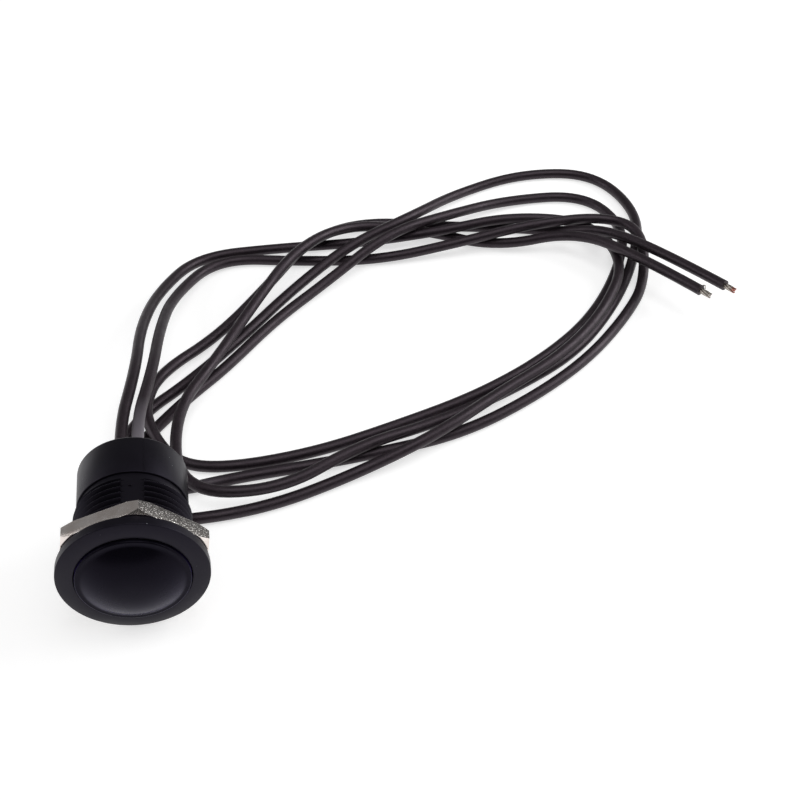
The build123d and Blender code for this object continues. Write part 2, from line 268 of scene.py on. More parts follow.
@dataclass(frozen=True, kw_only=True)
class MouldedPlastic(DustyFinish):
    """Black thermoplastic from a fine spark-eroded tool: satin with a faint cool sheen, dust and scuffs.

    The real tool's grain is about 0.04 mm. It is drawn coarser here, so that it shows in the render.
    """

    dark: str = "#070608"
    pale: str = "#0d0c10"
    cloud_mm: float = 5.0
    roughness: float = 0.40
    ior: float = 1.49
    specular: float = 0.25
    tint: str = "#ded3fb"
    sheen: float = 0.0
    sheen_tint: str = "#9a7cff"
    sheen_roughness: float = 0.4
    grain_mm: float = 0.20
    grain_lift_mm: float = 0.008
    grain_strength: float = 0.35
    scuff_at_mm: Point | None = None
    scuff_reach_mm: float = 2.2
    scuff_full: float = 0.3
    scuff_mm: float = 0.35
    scuff_limits: Flat = (0.52, 0.66)
    scuffed: str = "#3b3c40"
    scuffed_roughness: float = 0.75

    def surface(self, tree: Tree, where: Socket) -> dict[str, Any]:
        """Works out the shader's inputs.

        Args:
            tree: Node tree of the material.
            where: Object coordinates.

        Returns:
            A value or socket for each input.
        """
        cloud, gloss = self.clouds(tree, where)
        dust = self.dust(tree, where)
        tone = add_node(tree, "Mix", {SHARE: cloud, UNDER: self.dark, OVER: self.pale}, **COLOURS)
        tone = add_node(tree, "Mix", {SHARE: dust, UNDER: tone, OVER: self.speck}, **COLOURS)
        if self.scuff_at_mm is not None:
            scuff = self.scuff(tree, where)
            tone = add_node(tree, "Mix", {SHARE: scuff, UNDER: tone, OVER: self.scuffed}, **COLOURS)
            matt = add_node(tree, "Math", {0: scuff, 1: self.scuffed_roughness}, operation="MULTIPLY")
            gloss = add_node(tree, "Math", {0: gloss, 1: matt}, operation="MAXIMUM")
        grain = add_node(tree, "TexNoise", {"Vector": where, "Scale": per_mm(self.grain_mm)})
        bump = add_node(tree, "Bump", {"Height": grain, "Strength": self.grain_strength,
                                       "Distance": self.grain_lift_mm * MM})
        return {"Base Color": tone, "Roughness": gloss, "IOR": self.ior, "Specular IOR Level": self.specular,
                "Specular Tint": self.tint, "Sheen Weight": self.sheen, "Sheen Tint": self.sheen_tint,
                "Sheen Roughness": self.sheen_roughness, "Normal": bump}

    def scuff(self, tree: Tree, where: Socket) -> Socket:
        """Gives a small rubbed patch, broken up by fine scratches.

        Args:
            tree: Node tree of the material.
            where: Object coordinates.

        Returns:
            Share of the rubbing, 0 to 1.
        """
        low, high = self.scuff_limits
        near = self.patch(tree, where, self.scuff_at_mm, self.scuff_reach_mm, self.scuff_full)
        scratch = add_node(tree, "TexNoise", {"Vector": where, "Scale": per_mm(self.scuff_mm), "Detail": 4.0})
        rough = add_node(tree, "MapRange", {"Value": scratch, "From Min": low, "From Max": high})
        return add_node(tree, "Math", {0: near, 1: rough}, operation="MULTIPLY")


@dataclass(frozen=True)
class NickelPlate(Finish):
    """Nickel plate on a nut from drawn hexagon bar: pale warm metal, one flat darker and gritty, with pale
    specks.
    """

    name: str = "nickel_plated_brass"
    bright: str = "#f0e9e5"
    dull: str = "#dfd4ce"
    # Tone and specks of the one darker flat.
    dark_flat: str = "#555250"
    spark: str = "#fbf8f4"
    roughness: float = 0.20
    dark_flat_roughness: float = 0.30
    stain_mm: float = 1.8
    stain_limits: Flat = (0.35, 0.7)
    grit_mm: float = 0.15
    grit_stretch: float = 1.7
    spark_limits: Flat = (0.57, 0.65)
    drawn_mm: float = 0.25
    drawn_stretch: float = 0.10
    drawn_depth: float = 0.04
    relief_mm: float = 0.10
    relief_strength: float = 0.8
    dark_flat_turn: float = math.radians(40.5)
    dark_flat_limits: Flat = (0.94, 0.985)

    def surface(self, tree: Tree, where: Socket) -> dict[str, Any]:
        """Works out the shader's inputs.

        Args:
            tree: Node tree of the material.
            where: Object coordinates.

        Returns:
            A value or socket for each input.
        """
        clean, stained = self.stain_limits
        dim, lit = self.spark_limits
        spots = add_node(tree, "TexNoise", {"Vector": where, "Scale": per_mm(self.stain_mm), "Detail": 4.0})
        stain = add_node(tree, "MapRange", {"Value": spots, "From Min": clean, "From Max": stained})
        plate = add_node(tree, "Mix", {SHARE: stain, UNDER: self.bright, OVER: self.dull}, **COLOURS)
        # One flat, picked by its normal, is darker and gritty, with pale specks.
        on_dark_flat = self.dark_flat_side(tree)
        marks = add_node(tree, "Mapping", {"Vector": where, "Rotation": (0.0, self.dark_flat_turn, 0.0),
                                           "Scale": (self.grit_stretch, 1.0, 1.0)}, vector_type="TEXTURE")
        grit = add_node(tree, "TexNoise", {"Vector": marks, "Scale": per_mm(self.grit_mm), "Detail": 3.0})
        sparks = add_node(tree, "MapRange", {"Value": grit, "From Min": dim, "From Max": lit})
        dark_flat = add_node(tree, "Mix", {SHARE: sparks, UNDER: self.dark_flat, OVER: self.spark}, **COLOURS)
        tone = add_node(tree, "Mix", {SHARE: on_dark_flat, UNDER: plate, OVER: dark_flat}, **COLOURS)
        drawn = add_node(tree, "Mapping", {"Vector": where, "Scale": (1.0, self.drawn_stretch, 1.0)})
        streaks = add_node(tree, "TexNoise", {"Vector": drawn, "Scale": per_mm(self.drawn_mm), "Detail": 3.0})
        lines = add_node(tree, "Math", {0: streaks, 1: self.drawn_depth}, operation="MULTIPLY")
        dark_flat_grit = add_node(tree, "Math", {0: on_dark_flat, 1: grit}, operation="MULTIPLY")
        height = add_node(tree, "Math", {0: lines, 1: dark_flat_grit}, operation="ADD")
        bump = add_node(tree, "Bump", {"Height": height, "Strength": self.relief_strength,
                                       "Distance": self.relief_mm * MM})
        gloss = add_node(tree, "MapRange", {"Value": on_dark_flat, "To Min": self.roughness,
                                            "To Max": self.dark_flat_roughness})
        return {"Base Color": tone, "Metallic": 1.0, "Roughness": gloss, "Normal": bump}

    def dark_flat_side(self, tree: Tree) -> Socket:
        """Picks the flat to the right of the top corner by its normal.

        Args:
            tree: Node tree of the material.

        Returns:
            One on that flat and zero elsewhere.
        """
        low, high = self.dark_flat_limits
        facing = add_node(tree, "TexCoord", out="Normal")
        way = (math.sin(self.dark_flat_turn), 0.0, math.cos(self.dark_flat_turn))
        along = add_node(tree, "VectorMath", {0: facing, 1: way}, "Value", operation="DOT_PRODUCT")
        return add_node(tree, "MapRange", {"Value": along, "From Min": low, "From Max": high})


@dataclass(frozen=True, kw_only=True)
class LeadInsulation(DustyFinish):
    """Black flexible PVC, extruded over the strands: satin, faintly uneven along its length, a little dusty.

    The real skin's grain is finer than a pixel. It is drawn coarser here, so that it shows in the render.
    """

    speck: str = "#5d5c5f"
    speck_every_mm: float = 1.6
    speck_edge: Flat = (0.02, 0.05)
    dust_patch_mm: float = 3.0
    dust_level: float = 0.58
    dark: str = "#0c080b"
    pale: str = "#281f25"
    tint: str = "#f6e4f2"
    roughness: float = 0.45
    rougher: float = 0.08
    ior: float = 1.53
    cloud_mm: float = 2.4
    ripple_limits: Flat = (0.2, 0.8)
    ripple_least: float = 0.5
    ripple_height: float = 3.0
    grain_mm: float = 0.25
    grain_limits: Flat = (0.35, 0.65)
    relief_mm: float = 0.012
    relief_strength: float = 0.5
    # Colour, place and reach of a painted sheen: a paler patch where the lead catches the light.
    rubbed: str = "#7a767d"
    painted_sheen_at_mm: Point | None = None
    painted_sheen_reach_mm: float = 17.0
    painted_sheen_full: float = 0.3

    def surface(self, tree: Tree, where: Socket) -> dict[str, Any]:
        """Works out the shader's inputs.

        Args:
            tree: Node tree of the material.
            where: Object coordinates.

        Returns:
            A value or socket for each input.
        """
        cloud, gloss = self.clouds(tree, where)
        grain = add_node(tree, "TexNoise", {"Vector": where, "Scale": per_mm(self.grain_mm)})
        mottle = self.mottle(tree, cloud, grain)
        dust = self.dust(tree, where)
        tone = add_node(tree, "Mix", {SHARE: mottle, UNDER: self.dark, OVER: self.pale}, **COLOURS)
        tone = add_node(tree, "Mix", {SHARE: dust, UNDER: tone, OVER: self.speck}, **COLOURS)
        # A painted sheen: the skin is paler about one place, where it catches the light.
        if self.painted_sheen_at_mm is not None:
            matt = self.patch(tree, where, self.painted_sheen_at_mm, self.painted_sheen_reach_mm, self.painted_sheen_full)
            tone = add_node(tree, "Mix", {SHARE: matt, UNDER: tone, OVER: self.rubbed}, **COLOURS)
        swell = add_node(tree, "Math", {0: cloud, 1: self.ripple_height}, operation="MULTIPLY")
        height = add_node(tree, "Math", {0: swell, 1: grain}, operation="ADD")
        bump = add_node(tree, "Bump", {"Height": height, "Strength": self.relief_strength,
                                       "Distance": self.relief_mm * MM})
        return {"Base Color": tone, "Roughness": gloss, "IOR": self.ior, "Specular Tint": self.tint,
                "Normal": bump}

    def mottle(self, tree: Tree, cloud: Socket, grain: Socket) -> Socket:
        """Gives the skin's uneven tone, fine grain that comes and goes along the lead.

        Args:
            tree: Node tree of the material.
            cloud: Slow noise along the lead.
            grain: Fine noise.

        Returns:
            Share of the paler tone, 0 to 1.
        """
        fine_low, fine_high = self.grain_limits
        slow_low, slow_high = self.ripple_limits
        fine = add_node(tree, "MapRange", {"Value": grain, "From Min": fine_low, "From Max": fine_high})
        slow = add_node(tree, "MapRange", {"Value": cloud, "From Min": slow_low, "From Max": slow_high,
                                           "To Min": self.ripple_least})
        return add_node(tree, "Math", {0: fine, 1: slow}, operation="MULTIPLY")


@dataclass(frozen=True, kw_only=True)
class PlainMetal(CloudedFinish):
    """Drawn, stamped or plated metal of a small piece: bright, clouded by handling."""

    bright: str
    dull: str
    rougher: float = 0.1
    tip_at_mm: Point | None = None
    tip: str = "#b0604a"
    tip_reach_mm: float = 0.9
    tip_full: float = 0.4

    def surface(self, tree: Tree, where: Socket) -> dict[str, Any]:
        """Works out the shader's inputs.

        Args:
            tree: Node tree of the material.
            where: Object coordinates.

        Returns:
            A value or socket for each input.
        """
        cloud, gloss = self.clouds(tree, where)
        tone = add_node(tree, "Mix", {SHARE: cloud, UNDER: self.bright, OVER: self.dull}, **COLOURS)
        if self.tip_at_mm is not None:
            bare = self.patch(tree, where, self.tip_at_mm, self.tip_reach_mm, self.tip_full)
            tone = add_node(tree, "Mix", {SHARE: bare, UNDER: tone, OVER: self.tip}, **COLOURS)
        return {"Base Color": tone, "Metallic": 1.0, "Roughness": gloss}


@dataclass(frozen=True, kw_only=True)
class PlainPolymer(CloudedFinish):
    """Inner moulding, rubber or cast resin: one quiet tone with soft clouds in it."""

    dark: str
    pale: str
    cloud_mm: float = 2.0
    smoother: float = 0.03
    rougher: float = 0.05
    ior: float = 1.5
    relief_mm: float = 0.03
    relief_strength: float = 0.3

    def surface(self, tree: Tree, where: Socket) -> dict[str, Any]:
        """Works out the shader's inputs.

        Args:
            tree: Node tree of the material.
            where: Object coordinates.

        Returns:
            A value or socket for each input.
        """
        cloud, gloss = self.clouds(tree, where)
        tone = add_node(tree, "Mix", {SHARE: cloud, UNDER: self.dark, OVER: self.pale}, **COLOURS)
        bump = add_node(tree, "Bump", {"Height": cloud, "Strength": self.relief_strength,
                                       "Distance": self.relief_mm * MM})
        return {"Base Color": tone, "Roughness": gloss, "IOR": self.ior, "Normal": bump}


# Nylon as it leaves the tool is satin black. Acetal is smoother, with a cool bloom where it turns away.
HOUSING_FINISH = MouldedPlastic("moulded_black_nylon", scuff_at_mm=(-6.6, 5.5, 14.8))
BUTTON_FINISH = MouldedPlastic("moulded_black_acetal", roughness=0.28, specular=0.09, sheen=0.18,
                               grain_mm=0.30, grain_lift_mm=0.005, dust_level=0.60)
NUT_FINISH = NickelPlate()
# One lead has a painted sheen, a paler patch just behind the switch where it catches the light.
LEAD_FINISH = LeadInsulation("extruded_pvc")
SHEEN_PAINTED_LEAD_FINISH = LeadInsulation("extruded_pvc_rubbed", painted_sheen_at_mm=(1.2, 9.5, 11.2))
# Tin gives the copper a soft grey shine, drawn steel is cooler, brass is yellow and silver nearly white.
CORE_FINISH = PlainMetal("tinned_copper_core", bright="#c9c0b6", dull="#978578",
                         roughness=0.28, cloud_mm=0.35)
STEEL_FINISH = PlainMetal("drawn_spring_steel", bright="#b9bbbd", dull="#8c8e90",
                          roughness=0.26, cloud_mm=0.6)
BRASS_FINISH = PlainMetal("stamped_brass", bright="#c9a558", dull="#a07c38",
                          roughness=0.28, cloud_mm=0.8)
SILVER_FINISH = PlainMetal("silver_contact_tip", bright="#dad8d2", dull="#b2aea6",
                           roughness=0.22, cloud_mm=0.5)
# Rubber and phenolic are dull black, natural acetal is milky, and cast epoxy sets glossy and dark.
SEAL_FINISH = PlainPolymer("nitrile_rubber", dark="#101010", pale="#1a1a1a", roughness=0.6)
PLUNGER_FINISH = PlainPolymer("natural_acetal", dark="#d8d4c8", pale="#e6e3d9", roughness=0.4)
INNER_FINISH = PlainPolymer("black_phenolic", dark="#161617", pale="#222224", roughness=0.5)
RESIN_FINISH = PlainPolymer("cast_epoxy", dark="#0a0a0b", pale="#131314",
                            roughness=0.16, ior=1.55, cloud_mm=3.0)


def dress(piece: Piece, finish: Material) -> None:
    """Gives a piece one finish all over."""
    piece.data.materials.clear()
    piece.data.materials.append(finish)


def settle(piece: Piece, body: Body, finish: Material, node: str) -> None:
    """Puts a new piece on its body, with its finish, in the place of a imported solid.

    Args:
        piece: The new piece, in place.
        body: Body that it moves with.
        finish: Its node material.
        node: The solid that it stands for.
    """
    dress(piece, finish)
    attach(piece, body.value)
    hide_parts(node)


def pick(piece: Piece) -> None:
    """Makes a piece the only selected one, and the active one.

    Args:
        piece: The piece.
    """
    bpy.ops.object.select_all(action="DESELECT")
    piece.select_set(True)
    bpy.context.view_layer.objects.active = piece


def fresh(name: str, add: Callable[..., Any], **sizes: Any) -> Piece:
    """Adds a primitive, selected alone.

    Args:
        name: Name of the new piece.
        add: Operator that adds the primitive.
        **sizes: Its sizes, as the operator takes them.

    Returns:
        The new piece.
    """
    bpy.ops.object.select_all(action="DESELECT")
    add(**sizes)
    piece = bpy.context.object
    piece.name = name
    return piece


def lay(piece: Piece, at: Sequence[float] = (0.0, 0.0, 0.0), turn: Sequence[float] = (0.0, 0.0, 0.0)) -> None:
    """Turns and moves a piece, and puts its place and scale into its mesh.

    Args:
        piece: The piece.
        at: Where its origin goes, in metres.
        turn: Turns about X, Y and Z in radians. One about Y is clockwise as seen from the button.
    """
    pick(piece)
    piece.location = at
    piece.rotation_euler = turn
    bpy.ops.object.transform_apply(location=True, rotation=True, scale=True)


def seat(piece: Piece, smooth_deg: float) -> None:
    """Moves a piece to its place on the switch's axis and smooths its gentle edges.

    Args:
        piece: Piece modelled about the Y axis, with the flange's back face at the origin.
        smooth_deg: Angle in degrees below which an edge is smooth.
    """
    lay(piece, SEAT)
    bpy.ops.object.shade_smooth_by_angle(angle=math.radians(smooth_deg))


def outline_chain(name: str, outline_mm: list[Flat], closed: bool = True) -> Piece:
    """Draws an outline by extruding one vertex from point to point, and stays in edit mode.

    Args:
        name: Name of the new piece.
        outline_mm: Points as radius and place along the axis.
        closed: Whether the last point joins the first.

    Returns:
        The piece, whose mesh is the outline in the XY plane.
    """
    piece = fresh(name, bpy.ops.mesh.primitive_plane_add, size=MM)
    bpy.ops.object.mode_set(mode="EDIT")
    bpy.ops.mesh.select_mode(type="VERT")
    bpy.ops.mesh.select_all(action="SELECT")
    bpy.ops.mesh.merge(type="CENTER")
    first_r, first_along = outline_mm[0]
    bpy.ops.transform.translate(value=(first_r * MM, first_along * MM, 0.0))
    onward = outline_mm[1:] + outline_mm[:1] if closed else outline_mm[1:]
    for (r0, a0), (r1, a1) in zip(outline_mm, onward):
        step = ((r1 - r0) * MM, (a1 - a0) * MM, 0.0)
        bpy.ops.mesh.extrude_region_move(TRANSFORM_OT_translate={"value": step})
    bpy.ops.mesh.select_all(action="SELECT")
    bpy.ops.mesh.remove_doubles(threshold=WELD)
    return piece


def turned(name: str, outline_mm: list[Flat], steps: int = 128, closed: bool = True) -> Piece:
    """Turns a half-section about the Y axis.

    Args:
        name: Name of the new piece.
        outline_mm: Points as radius and place along the axis.
        steps: Facets round the axis.
        closed: False for a section that starts and ends on the axis.

    Returns:
        The closed round piece.
    """
    piece = outline_chain(name, outline_mm, closed)
    bpy.ops.mesh.select_all(action="SELECT")
    bpy.ops.mesh.spin(steps=steps, angle=math.tau, center=(0.0, 0.0, 0.0), axis=(0.0, 1.0, 0.0))
    bpy.ops.mesh.select_all(action="SELECT")
    bpy.ops.mesh.remove_doubles(threshold=WELD)
    bpy.ops.mesh.normals_make_consistent(inside=False)
    bpy.ops.object.mode_set(mode="OBJECT")
    return piece


def wound(piece: Piece, lead: float, turns: float, steps: int) -> Piece:
    """Winds a closed outline about the Y axis as a helix with closed ends.

    Args:
        piece: Piece whose mesh is the outline.
        lead: Advance along the axis over all the turns, in metres.
        turns: Number of turns.
        steps: Facets over all the turns.

    Returns:
        The closed helical piece.
    """
    pick(piece)
    screw = piece.modifiers.new("winding", "SCREW")
    screw.axis = "Y"
    screw.angle = math.tau * turns
    screw.screw_offset = lead
    screw.steps = steps
    screw.render_steps = steps
    screw.use_merge_vertices = False
    bpy.ops.object.modifier_apply(modifier=screw.name)
    bpy.ops.object.mode_set(mode="EDIT")
    bpy.ops.mesh.select_all(action="SELECT")
    bpy.ops.mesh.fill_holes(sides=0)
    bpy.ops.mesh.select_all(action="SELECT")
    bpy.ops.mesh.normals_make_consistent(inside=False)
    bpy.ops.object.mode_set(mode="OBJECT")
    return piece


def cut(piece: Piece, tool: Piece, way: Cut) -> None:
    """Joins a tool solid into a piece, takes it out or keeps what they share.

    Args:
        piece: Solid that changes.
        tool: Solid that is used up.
        way: What is done with it.
    """
    pick(piece)
    joint = piece.modifiers.new("joint", "BOOLEAN")
    joint.operation = way.value
    joint.solver = "EXACT"
    joint.object = tool
    bpy.ops.object.modifier_apply(modifier=joint.name)
    bpy.data.objects.remove(tool, do_unlink=True)


def bar(name: str, low_mm: Point, high_mm: Point) -> Piece:
    """Adds a rectangular bar between two corners.

    Args:
        name: Name of the new piece.
        low_mm: Its lowest corner.
        high_mm: Its highest corner.

    Returns:
        The bar.
    """
    piece = fresh(name, bpy.ops.mesh.primitive_cube_add, size=1.0)
    piece.scale = [(b - a) * MM for a, b in zip(low_mm, high_mm)]
    lay(piece, [(a + b) / 2 * MM for a, b in zip(low_mm, high_mm)])
    return piece


def narrow_top(piece: Piece, factors: Point) -> None:
    """Draws a bar's top corners in towards its middle.

    Args:
        piece: The bar.
        factors: Size of its top after it, as factors along X, Y and Z.
    """
    corners = [vertex.co.copy() for vertex in piece.data.vertices]
    middle = sum(corners, Vector()) / len(corners)
    pick(piece)
    bpy.ops.object.mode_set(mode="EDIT")
    bpy.ops.mesh.select_all(action="DESELECT")
    bpy.ops.object.mode_set(mode="OBJECT")
    for vertex in piece.data.vertices:
        vertex.select = vertex.co.z > middle.z
    bpy.ops.object.mode_set(mode="EDIT")
    bpy.ops.transform.resize(value=factors, center_override=middle)
    bpy.ops.object.mode_set(mode="OBJECT")


def arc(r: float, along: float, size: float, first: float, last: float, steps: int = 5) -> list[Flat]:
    """Gives the points of a rounded corner in a half-section.

    Args:
        r: Radius from the axis to the corner's centre, mm.
        along: Place of the corner's centre along the axis, mm.
        size: Radius of the rounding, mm.
        first: Angle of the first point in degrees, from the radius direction.
        last: Angle of the last point in degrees.
        steps: Number of facets.

    Returns:
        The points from first to last.
    """
    angles = [math.radians(first + (last - first) * i / steps) for i in range(steps + 1)]
    return [(r + size * math.cos(t), along + size * math.sin(t)) for t in angles]


LEFT_ROUTE_MM: list[Point] = [
    (-1.4, 8.7, 10.8), (-2.15, 19.0, 11.0), (0.5, 34.0, 10.2), (1.0, 47.5, 7.2), (3.5, 61.0, 3.3),
    (10.5, 73.5, 0.9), (25.5, 74.0, 0.9), (39.5, 73.5, 0.9), (53.5, 72.0, 3.0), (67.0, 74.5, 3.3),
    (82.0, 74.0, 0.9), (84.5, 58.5, 3.2), (77.5, 46.0, 2.9), (68.0, 36.0, 2.9), (56.0, 28.5, 2.9),
    (44.5, 20.0, 3.4), (31.2, 15.8, 0.9), (18.0, 11.0, 0.9), (4.0, 10.1, 0.9), (-4.5, 12.0, 0.9),
    (-7.0, 19.5, 0.9), (-3.5, 26.0, 0.9), (0.5, 34.0, 0.9), (7.6, 40.0, 0.9), (17.2, 50.5, 0.9),
    (26.6, 61.4, 1.4), (37.5, 70.0, 3.4), (49.4, 75.7, 4.3), (58.9, 86.0, 0.9), (72.5, 91.1, 0.9),
    (86.6, 89.2, 0.9), (91.7, 75.2, 0.9), (87.1, 61.5, 0.9), (80.2, 49.4, 0.9), (71.0, 38.5, 0.9),
    (58.5, 31.0, 0.9), (45.5, 25.0, 1.2), (33.0, 19.8, 3.2), (20.0, 11.9, 3.2), (5.6, 14.0, 3.2),
    (5.5, 31.0, 3.2), (12.5, 43.0, 2.9), (19.5, 55.5, 3.5), (27.5, 66.3, 6.1), (37.5, 75.8, 3.6),
    (51.0, 76.0, 0.9), (63.5, 68.7, 0.9), (77.5, 67.2, 4.2), (86.3, 57.1, 5.2), (93.6, 45.4, 6.0),
]
RIGHT_ROUTE_MM: list[Point] = [
    (1.4, 8.7, 10.8), (0.1, 19.0, 11.0), (3.0, 33.5, 10.0), (4.0, 47.0, 6.9), (6.0, 60.0, 3.0),
    (14.0, 72.5, 0.9), (29.0, 69.5, 0.9), (42.5, 68.0, 0.9), (56.5, 69.0, 2.4), (69.5, 70.2, 4.2),
    (83.5, 72.3, 3.2), (89.9, 67.0, 3.4), (87.2, 55.0, 0.9), (82.0, 47.0, 0.9), (73.0, 37.0, 0.9),
    (61.7, 28.8, 0.9), (49.1, 22.4, 0.9), (35.5, 20.0, 0.9), (24.0, 18.7, 0.9), (13.5, 17.8, 0.9),
    (4.6, 16.2, 0.9), (-0.4, 19.4, 0.9), (-1.0, 25.8, 0.9), (3.0, 31.0, 0.9), (8.0, 37.0, 0.9),
    (14.0, 43.0, 0.9), (22.6, 53.7, 0.9), (32.6, 62.6, 1.4), (44.5, 70.4, 5.0), (55.9, 76.4, 3.3),
    (68.0, 82.8, 0.9), (83.0, 82.6, 0.9), (88.1, 71.2, 0.9), (83.0, 58.0, 0.9), (75.2, 46.2, 0.9),
    (64.8, 37.3, 0.9), (52.7, 30.4, 0.9), (39.6, 25.6, 0.9), (26.5, 21.5, 0.9), (13.0, 20.0, 0.9),
    (5.5, 22.0, 0.9), (2.0, 27.0, 2.8), (1.0, 33.0, 3.6), (3.5, 41.5, 2.4), (13.0, 51.0, 0.9),
    (22.0, 61.5, 2.2), (30.2, 71.8, 3.8), (41.0, 79.9, 0.9), (54.5, 76.5, 0.9), (68.0, 74.0, 0.9),
    (76.0, 71.0, 1.4), (82.5, 66.0, 5.0), (91.0, 57.5, 5.0), (98.0, 46.1, 6.0),
]


@dataclass
class Housing:
    """One moulding: flange with its recess, threaded bushing with two flats, relief groove, plain barrel."""

    flange_r: float = 10.1
    flange_t: float = 1.52
    flange_back: float = 0.3
    flange_back_ease: float = 0.15
    flange_fall: float = 0.36
    flange_edge: float = 0.12
    face_steps: int = 10
    recess_r: float = 7.7
    recess_floor: float = -0.15
    recess_ease: float = 0.12
    thread_r: float = 8.0
    root_r: float = 7.38
    pitch: float = 1.0
    thread_start: float = -1.03
    thread_turns: int = 11
    turn_facets: int = 88
    flank: tuple[Flat, ...] = ((0.00, 0.43), (0.25, 0.33), (0.50, 0.235), (0.75, 0.155), (0.92, 0.085))
    ridge_foot: float = 0.2
    ridge_half: float = 0.47
    ridge_end: float = 9.47
    thread_end: float = 9.8
    lead_in: float = 0.31
    sleeve_over: float = 0.02
    sleeve_inside: float = 0.3
    sleeve_sunk: float = 0.05
    relief_r: float = 7.3
    barrel_start: float = 10.7
    barrel_r: float = 7.6
    barrel_end: float = 17.5
    barrel_edge: float = 0.4
    small_edge: float = 0.1
    flat_up: float = 7.32
    flat_w: float = 3.06
    flat_lag: float = math.radians(11.75)
    flat_from: float = 0.02
    flat_past: float = 0.05
    flat_room: float = 2.0
    cavity_r: float = 6.4
    plate_seat: float = 6.8
    clip_room_r: float = 6.2
    guide_r: float = 5.5
    guide_end: float = 4.6
    flash_w: float = 0.14
    flash_h: float = 0.04
    flash_foot: float = 0.3
    flash_from: float = 0.12
    flash_short: float = 0.28
    flash_top: Point = (0.4, 1.0, 1.0)
    stub_at: Flat = (-0.33, 8.34)
    stub_size: Point = (0.66, 0.42, 0.12)
    stub_foot: float = 0.2
    stub_top: Point = (0.6, 0.5, 1.0)
    smooth_deg: float = 32.0

    def build(self, finish: Material) -> Piece:
        """Models the moulding and puts it on the switch.

        Args:
            finish: Finish of the plastic.

        Returns:
            The housing.
        """
        piece = turned("housing_moulding", self.section())
        cut(piece, self.thread(), Cut.ADD)
        for half_turn in (0.0, math.pi):
            cut(piece, self.flat(half_turn), Cut.TAKE)
            cut(piece, self.flash(half_turn), Cut.ADD)
        cut(piece, self.stub(), Cut.ADD)
        seat(piece, self.smooth_deg)
        settle(piece, Body.SWITCH, finish, "housing")
        return piece

    def section(self) -> list[Flat]:
        """Gives the half-section with the bushing at the thread's root.

        Returns:
            Points as radius and place along the axis, mm.
        """
        front = -self.flange_t
        back = self.flange_back
        back_ease = self.flange_back_ease
        ease = self.recess_ease
        edge = self.small_edge
        rear = self.barrel_edge
        return [
            (self.recess_r, self.recess_floor),
            *arc(self.recess_r + ease, front + ease, ease, 180, 270),
            *self.flange_face(),
            (self.flange_r, back - back_ease), (self.flange_r - back_ease, back), (self.root_r, back),
            (self.root_r, self.thread_end), (self.relief_r, self.thread_end),
            (self.relief_r, self.barrel_start),
            *arc(self.barrel_r - edge, self.barrel_start + edge, edge, 270, 360, 3),
            *arc(self.barrel_r - rear, self.barrel_end - rear, rear, 0, 90),
            (self.cavity_r + edge, self.barrel_end), (self.cavity_r, self.barrel_end - edge),
            (self.cavity_r, self.plate_seat), (self.clip_room_r, self.plate_seat),
            (self.clip_room_r, self.guide_end), (self.guide_r, self.guide_end),
            (self.guide_r, self.recess_floor),
        ]

    def flange_face(self) -> list[Flat]:
        """Gives the flange's face, which falls away towards the rim, and its broken edge.

        Returns:
            Points as radius and place along the axis, mm.
        """
        inner = self.recess_r + self.recess_ease
        outer = self.flange_r - self.flange_edge
        face = []
        for step in range(1, self.face_steps):
            share = step / self.face_steps
            face.append((inner + (outer - inner) * share, self.flange_fall * share ** 2 - self.flange_t))
        rim = self.flange_fall + self.flange_edge - self.flange_t
        return [*face, *arc(outer, rim, self.flange_edge, 284, 360, 4)]

    def thread(self) -> Piece:
        """Winds the thread's rounded ridge and trims it to the bushing's length and lead-in.

        Returns:
            The ridge, ready to be joined to the bushing.
        """
        deep = self.root_r - self.ridge_foot
        rise = self.thread_r - self.root_r
        low = [(self.root_r + rise * up, -half * self.pitch) for up, half in self.flank]
        high = [(r, -along) for r, along in reversed(low)]
        tooth = [(deep, -self.ridge_half), *low, (self.thread_r, 0.0), *high, (deep, self.ridge_half)]
        turns = self.thread_turns
        ridge = outline_chain("thread_ridge", [(r, along + self.thread_start) for r, along in tooth])
        bpy.ops.object.mode_set(mode="OBJECT")
        wound(ridge, turns * self.pitch * MM, turns, turns * self.turn_facets)
        start = self.flange_back - self.sleeve_sunk
        end = self.ridge_end
        inside = deep - self.sleeve_inside
        over = self.thread_r + self.sleeve_over
        sleeve = turned("thread_sleeve", [
            (inside, start), (over, start), (over, end - self.lead_in), (over - self.lead_in, end),
            (inside, end),
        ])
        cut(ridge, sleeve, Cut.KEEP)
        return ridge

    def flat(self, half_turn: float) -> Piece:
        """Makes the block that takes one flat off the thread, beside the mould's parting plane.

        Args:
            half_turn: Turn about the axis, for the flat on the other side.

        Returns:
            The block.
        """
        half = self.flat_w / 2
        block = bar("flat_block", (-half, self.flange_back + self.flat_from, self.flat_up),
                    (half, self.thread_end + self.flat_past, self.flat_up + self.flat_room))
        lay(block, turn=(0.0, PARTING_TURN - self.flat_lag + half_turn, 0.0))
        return block

    def flash(self, half_turn: float) -> Piece:
        """Makes the fine ridge that the mould's parting line leaves along the barrel.

        Args:
            half_turn: Turn about the axis, for the ridge on the other side.

        Returns:
            The ridge, narrowed towards its top.
        """
        half = self.flash_w / 2
        foot = self.barrel_r - self.flash_foot
        ridge = bar("flash_ridge", (-half, self.barrel_start + self.flash_from, foot),
                    (half, self.barrel_end - self.flash_short, self.barrel_r + self.flash_h))
        narrow_top(ridge, self.flash_top)
        lay(ridge, turn=(0.0, PARTING_TURN + half_turn, 0.0))
        return ridge

    def stub(self) -> Piece:
        """Makes the low stub of a thread crest that stands on the upper flat.

        Returns:
            The stub, narrowed towards its top.
        """
        across, along = self.stub_at
        wide, deep, high = self.stub_size
        lump = bar("crest_stub", (across - wide / 2, along - deep / 2, self.flat_up - self.stub_foot),
                   (across + wide / 2, along + deep / 2, self.flat_up + high))
        narrow_top(lump, self.stub_top)
        lay(lump, turn=(0.0, PARTING_TURN - self.flat_lag, 0.0))
        return lump


